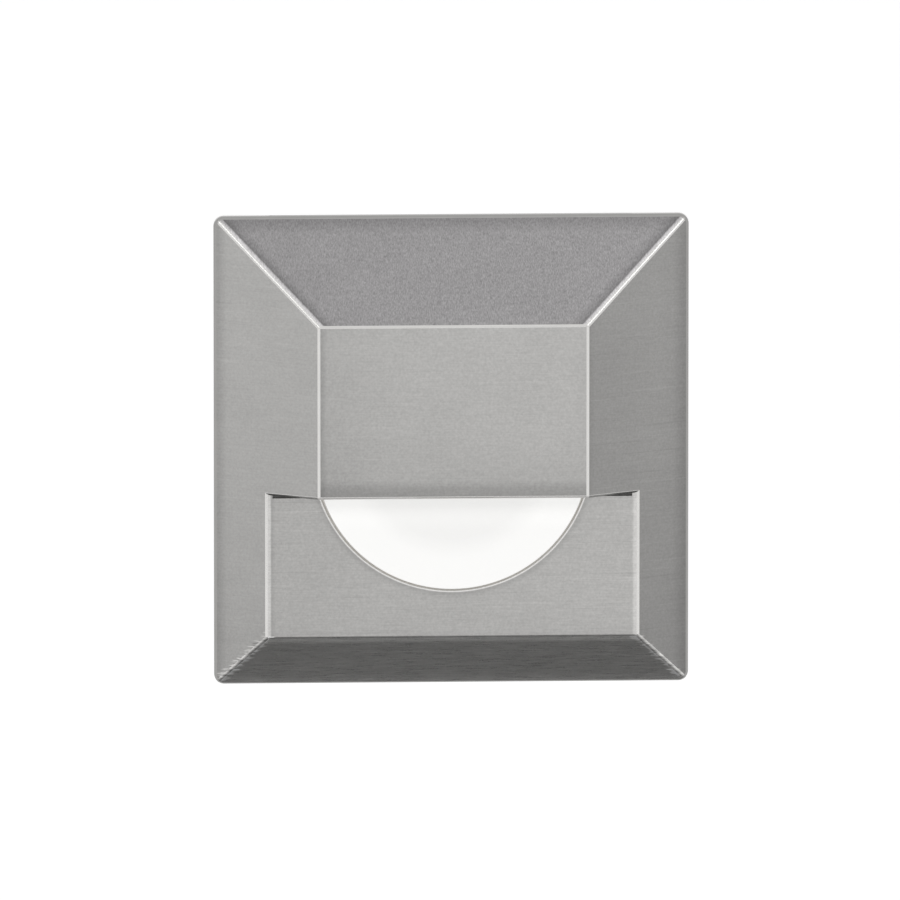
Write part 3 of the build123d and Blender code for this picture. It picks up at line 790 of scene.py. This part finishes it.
def seen_or_mirrored(tree):
    """1 for camera, glossy and transmission rays, 0 for the rest."""
    rays = tree.nodes.new("ShaderNodeLightPath")
    first = compute(tree, "MAXIMUM", rays.outputs["Is Camera Ray"], rays.outputs["Is Glossy Ray"])
    return compute(tree, "MAXIMUM", first, rays.outputs["Is Transmission Ray"])


def pale_floor():
    """Floor that glows a little where it is seen or mirrored, so it is as white as the sky there."""
    material, tree, shader = new_material("pale_floor", (0.85, 0.85, 0.85), 0.9)
    lift = tree.nodes.new("ShaderNodeEmission")
    lift.inputs["Color"].default_value = (1, 1, 1, 1)
    strength = spread(tree, seen_or_mirrored(tree), 0.0, 0.45, WHOLE_SPAN)
    tree.links.new(strength, lift.inputs["Strength"])
    both = tree.nodes.new("ShaderNodeAddShader")
    tree.links.new(shader.outputs["BSDF"], both.inputs[0])
    tree.links.new(lift.outputs["Emission"], both.inputs[1])
    tree.links.new(both.outputs["Shader"], tree.nodes["Material Output"].inputs["Surface"])
    return material


stage_plane("floor", centre=(0, 0, -0.15), half_x=12.0, half_y=12.0, material=pale_floor())

# Dark card in front of the face and below it, seen only as a reflection in the steel
card = new_material("dark_card", (0.24, 0.24, 0.24), 0.9)[0]
under_card = stage_plane("under_card", centre=(0, -0.15, -0.14), half_x=0.12, half_y=0.14, material=card)
under_card.visible_camera = False
under_card.visible_diffuse = False
under_card.visible_shadow = False
under_card.visible_transmission = False

# Sky that is full white where it is seen or mirrored, and lights the rest a little less
world = bpy.data.worlds.new("studio_white")
bpy.context.scene.world = world
world.use_nodes = True
sky_tree = world.node_tree
sky = sky_tree.nodes["Background"]
sky.inputs["Color"].default_value = (1, 1, 1, 1)
sky_strength = spread(sky_tree, seen_or_mirrored(sky_tree), 0.6, 1.0, WHOLE_SPAN)
sky_tree.links.new(sky_strength, sky.inputs["Strength"])


def toward_viewer(azimuth, elevation):
    """Direction from the light to a viewer, in degrees round from its front and up from level."""
    turn, rise = radians(azimuth), radians(elevation)
    return Vector((sin(turn) * cos(rise), -cos(turn) * cos(rise), sin(rise)))


def soft_lamp(name, azimuth, elevation, power, distance=1.4, size=0.5):
    """Square area lamp aimed at the light."""
    lamp = bpy.data.lights.new(name, "AREA")
    lamp.shape = "SQUARE"
    lamp.size = size
    lamp.energy = power
    holder = bpy.data.objects.new(name, lamp)
    bpy.context.scene.collection.objects.link(holder)
    direction = toward_viewer(azimuth, elevation)
    holder.location = direction * distance
    holder.rotation_euler = direction.to_track_quat("Z", "Y").to_euler()


soft_lamp("key_left", azimuth=-38, elevation=32, power=3.0)
soft_lamp("key_right", azimuth=38, elevation=32, power=2.4)

# ---------------------------------------------------------------- camera

photo_side = 900
photo_pixels_per_metre = 6784.0
face_centre_pixel = (450.95, 447.7)
camera_azimuth = -2.3
camera_elevation = 10.5
camera_distance = 4.0
sensor_width = 36.0

camera_data = bpy.data.cameras.new("photo_camera")
camera_data.sensor_width = sensor_width
camera_data.lens = sensor_width * camera_distance / (photo_side / photo_pixels_per_metre)
camera_data.clip_end = 100.0
camera = bpy.data.objects.new("photo_camera", camera_data)
bpy.context.scene.collection.objects.link(camera)
toward = toward_viewer(camera_azimuth, camera_elevation)
camera.rotation_euler = toward.to_track_quat("Z", "Y").to_euler()
turn = camera.rotation_euler.to_matrix()
sideways = (photo_side / 2 - face_centre_pixel[0]) / photo_pixels_per_metre
upwards = (face_centre_pixel[1] - photo_side / 2) / photo_pixels_per_metre
camera.location = toward * camera_distance + turn @ Vector((sideways, upwards, 0))
bpy.context.scene.camera = camera
bpy.context.scene.view_settings.view_transform = "Standard"
